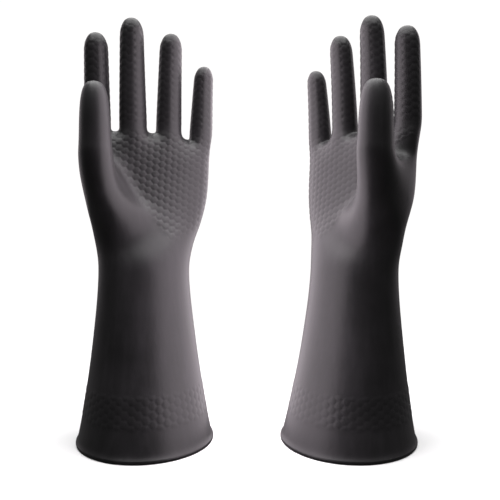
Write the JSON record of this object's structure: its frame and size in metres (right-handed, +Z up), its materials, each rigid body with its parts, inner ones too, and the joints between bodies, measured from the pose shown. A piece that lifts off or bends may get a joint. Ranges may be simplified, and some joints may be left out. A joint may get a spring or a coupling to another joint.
{
  "type": "electrical insulating gloves",
  "caption": "Pair of long black rubber insulating gloves with flared cuffs and rolled rims, scale-patterned palms and bending wrists, fingers and thumbs.",
  "frame": {"origin": "middle of the footprint of the pair, on the floor they stand on", "axes": "+Z up along the fingers, +X across the pair from the left-hand glove to the right-hand glove, -Y towards the side the palms face"},
  "size_m": [0.2854, 0.1258, 0.3503],
  "materials": {
    "black_rubber": "satin",
    "flexing_rubber": "satin"
  },
  "bodies": {
    "left_cuff": {"left_cuff": "black_rubber", "left_cuff_bead": "black_rubber"},
    "left_hand": {"left_palm": "black_rubber", "left_wrist_sleeve": "flexing_rubber"},
    "left_thumb_lower": {"left_thumb_root_sleeve": "flexing_rubber", "left_thumb_proximal": "black_rubber"},
    "left_thumb_upper": {"left_thumb_knuckle_sleeve": "flexing_rubber", "left_thumb_distal": "black_rubber"},
    "left_index_lower": {"left_index_root_sleeve": "flexing_rubber", "left_index_proximal": "black_rubber"},
    "left_index_upper": {"left_index_knuckle_sleeve": "flexing_rubber", "left_index_distal": "black_rubber"},
    "left_middle_lower": {"left_middle_root_sleeve": "flexing_rubber", "left_middle_proximal": "black_rubber"},
    "left_middle_upper": {"left_middle_knuckle_sleeve": "flexing_rubber", "left_middle_distal": "black_rubber"},
    "left_ring_lower": {"left_ring_root_sleeve": "flexing_rubber", "left_ring_proximal": "black_rubber"},
    "left_ring_upper": {"left_ring_knuckle_sleeve": "flexing_rubber", "left_ring_distal": "black_rubber"},
    "left_little_lower": {"left_little_root_sleeve": "flexing_rubber", "left_little_proximal": "black_rubber"},
    "left_little_upper": {"left_little_knuckle_sleeve": "flexing_rubber", "left_little_distal": "black_rubber"},
    "right_cuff": {"right_cuff": "black_rubber", "right_cuff_bead": "black_rubber"},
    "right_hand": {"right_palm": "black_rubber", "right_wrist_sleeve": "flexing_rubber"},
    "right_thumb_lower": {"right_thumb_root_sleeve": "flexing_rubber", "right_thumb_proximal": "black_rubber"},
    "right_thumb_upper": {"right_thumb_knuckle_sleeve": "flexing_rubber", "right_thumb_distal": "black_rubber"},
    "right_index_lower": {"right_index_root_sleeve": "flexing_rubber", "right_index_proximal": "black_rubber"},
    "right_index_upper": {"right_index_knuckle_sleeve": "flexing_rubber", "right_index_distal": "black_rubber"},
    "right_middle_lower": {"right_middle_root_sleeve": "flexing_rubber", "right_middle_proximal": "black_rubber"},
    "right_middle_upper": {"right_middle_knuckle_sleeve": "flexing_rubber", "right_middle_distal": "black_rubber"},
    "right_ring_lower": {"right_ring_root_sleeve": "flexing_rubber", "right_ring_proximal": "black_rubber"},
    "right_ring_upper": {"right_ring_knuckle_sleeve": "flexing_rubber", "right_ring_distal": "black_rubber"},
    "right_little_lower": {"right_little_root_sleeve": "flexing_rubber", "right_little_proximal": "black_rubber"},
    "right_little_upper": {"right_little_knuckle_sleeve": "flexing_rubber", "right_little_distal": "black_rubber"}
  },
  "joints": [
    {"name": "left_wrist", "type": "hinge", "parent": "left_cuff", "child": "left_hand", "pos_m": [-0.08618, 0.00158, 0.15], "axis": [0.9588, 0.284, 0], "range_deg": [-40, 40], "stiffness_Nm_per_rad": 3, "deforming": ["left_wrist_sleeve"]},
    {"name": "left_thumb_root", "type": "hinge", "parent": "left_hand", "child": "left_thumb_lower", "pos_m": [-0.11567, -0.03761, 0.24145], "axis": [0.0262, -0.9997, 0], "range_deg": [-40, 40], "stiffness_Nm_per_rad": 0.1, "deforming": ["left_thumb_root_sleeve"]},
    {"name": "left_thumb_knuckle", "type": "hinge", "parent": "left_thumb_lower", "child": "left_thumb_upper", "pos_m": [-0.11567, -0.03761, 0.26572], "axis": [0.0262, -0.9997, 0], "range_deg": [-70, 0], "stiffness_Nm_per_rad": 0.06, "deforming": ["left_thumb_knuckle_sleeve"]},
    {"name": "left_index_root", "type": "hinge", "parent": "left_hand", "child": "left_index_lower", "pos_m": [-0.1259, 0.01438, 0.27133], "axis": [0.9588, 0.284, 0], "range_deg": [0, 45], "stiffness_Nm_per_rad": 0.1, "deforming": ["left_index_root_sleeve"]},
    {"name": "left_index_knuckle", "type": "hinge", "parent": "left_index_lower", "child": "left_index_upper", "pos_m": [-0.12561, 0.0127, 0.302], "axis": [0.9588, 0.284, 0], "range_deg": [0, 80], "stiffness_Nm_per_rad": 0.06, "deforming": ["left_index_knuckle_sleeve"]},
    {"name": "left_middle_root", "type": "hinge", "parent": "left_hand", "child": "left_middle_lower", "pos_m": [-0.09668, 0.01775, 0.27182], "axis": [0.9588, 0.284, 0], "range_deg": [0, 70], "stiffness_Nm_per_rad": 0.1, "deforming": ["left_middle_root_sleeve"]},
    {"name": "left_middle_knuckle", "type": "hinge", "parent": "left_middle_lower", "child": "left_middle_upper", "pos_m": [-0.09627, 0.01522, 0.30778], "axis": [0.9588, 0.284, 0], "range_deg": [0, 80], "stiffness_Nm_per_rad": 0.06, "deforming": ["left_middle_knuckle_sleeve"]},
    {"name": "left_ring_root", "type": "hinge", "parent": "left_hand", "child": "left_ring_lower", "pos_m": [-0.0674, 0.02751, 0.27033], "axis": [0.9588, 0.284, 0], "range_deg": [0, 70], "stiffness_Nm_per_rad": 0.1, "deforming": ["left_ring_root_sleeve"]},
    {"name": "left_ring_knuckle", "type": "hinge", "parent": "left_ring_lower", "child": "left_ring_upper", "pos_m": [-0.06605, 0.02578, 0.30238], "axis": [0.9588, 0.284, 0], "range_deg": [0, 80], "stiffness_Nm_per_rad": 0.06, "deforming": ["left_ring_knuckle_sleeve"]},
    {"name": "left_little_root", "type": "hinge", "parent": "left_hand", "child": "left_little_lower", "pos_m": [-0.04026, 0.03661, 0.2647], "axis": [0.9588, 0.284, 0], "range_deg": [0, 70], "stiffness_Nm_per_rad": 0.1, "deforming": ["left_little_root_sleeve"]},
    {"name": "left_little_knuckle", "type": "hinge", "parent": "left_little_lower", "child": "left_little_upper", "pos_m": [-0.03895, 0.03558, 0.28784], "axis": [0.9588, 0.284, 0], "range_deg": [0, 80], "stiffness_Nm_per_rad": 0.06, "deforming": ["left_little_knuckle_sleeve"]},
    {"name": "right_glove_lift", "type": "slide", "parent": "left_cuff", "child": "right_cuff", "axis": [0, 0, 1], "range_m": [0, 0.35]},
    {"name": "right_wrist", "type": "hinge", "parent": "right_cuff", "child": "right_hand", "pos_m": [0.08962, 0.00036, 0.15], "axis": [0.7071, -0.7071, 0], "range_deg": [-40, 40], "stiffness_Nm_per_rad": 3, "deforming": ["right_wrist_sleeve"]},
    {"name": "right_thumb_root", "type": "hinge", "parent": "right_hand", "child": "right_thumb_lower", "pos_m": [0.09684, -0.04815, 0.24145], "axis": [0.5, 0.866, 0], "range_deg": [-40, 40], "stiffness_Nm_per_rad": 0.1, "deforming": ["right_thumb_root_sleeve"]},
    {"name": "right_thumb_knuckle", "type": "hinge", "parent": "right_thumb_lower", "child": "right_thumb_upper", "pos_m": [0.09684, -0.04815, 0.26572], "axis": [0.5, 0.866, 0], "range_deg": [-70, 0], "stiffness_Nm_per_rad": 0.06, "deforming": ["right_thumb_knuckle_sleeve"]},
    {"name": "right_index_root", "type": "hinge", "parent": "right_hand", "child": "right_index_lower", "pos_m": [0.13064, -0.00734, 0.27133], "axis": [0.7071, -0.7071, 0], "range_deg": [0, 45], "stiffness_Nm_per_rad": 0.1, "deforming": ["right_index_root_sleeve"]},
    {"name": "right_index_knuckle", "type": "hinge", "parent": "right_index_lower", "child": "right_index_upper", "pos_m": [0.12958, -0.00868, 0.302], "axis": [0.7071, -0.7071, 0], "range_deg": [0, 80], "stiffness_Nm_per_rad": 0.06, "deforming": ["right_index_knuckle_sleeve"]},
    {"name": "right_middle_root", "type": "hinge", "parent": "right_hand", "child": "right_middle_lower", "pos_m": [0.10657, 0.00956, 0.27182], "axis": [0.7071, -0.7071, 0], "range_deg": [0, 70], "stiffness_Nm_per_rad": 0.1, "deforming": ["right_middle_root_sleeve"]},
    {"name": "right_middle_knuckle", "type": "hinge", "parent": "right_middle_lower", "child": "right_middle_upper", "pos_m": [0.105, 0.00753, 0.30778], "axis": [0.7071, -0.7071, 0], "range_deg": [0, 80], "stiffness_Nm_per_rad": 0.06, "deforming": ["right_middle_knuckle_sleeve"]},
    {"name": "right_ring_root", "type": "hinge", "parent": "right_hand", "child": "right_ring_lower", "pos_m": [0.08549, 0.03211, 0.27033], "axis": [0.7071, -0.7071, 0], "range_deg": [0, 70], "stiffness_Nm_per_rad": 0.1, "deforming": ["right_ring_root_sleeve"]},
    {"name": "right_ring_knuckle", "type": "hinge", "parent": "right_ring_lower", "child": "right_ring_upper", "pos_m": [0.08348, 0.03123, 0.30238], "axis": [0.7071, -0.7071, 0], "range_deg": [0, 80], "stiffness_Nm_per_rad": 0.06, "deforming": ["right_ring_knuckle_sleeve"]},
    {"name": "right_little_root", "type": "hinge", "parent": "right_hand", "child": "right_little_lower", "pos_m": [0.06598, 0.05306, 0.2647], "axis": [0.7071, -0.7071, 0], "range_deg": [0, 70], "stiffness_Nm_per_rad": 0.1, "deforming": ["right_little_root_sleeve"]},
    {"name": "right_little_knuckle", "type": "hinge", "parent": "right_little_lower", "child": "right_little_upper", "pos_m": [0.06433, 0.05278, 0.28784], "axis": [0.7071, -0.7071, 0], "range_deg": [0, 80], "stiffness_Nm_per_rad": 0.06, "deforming": ["right_little_knuckle_sleeve"]}
  ]
}
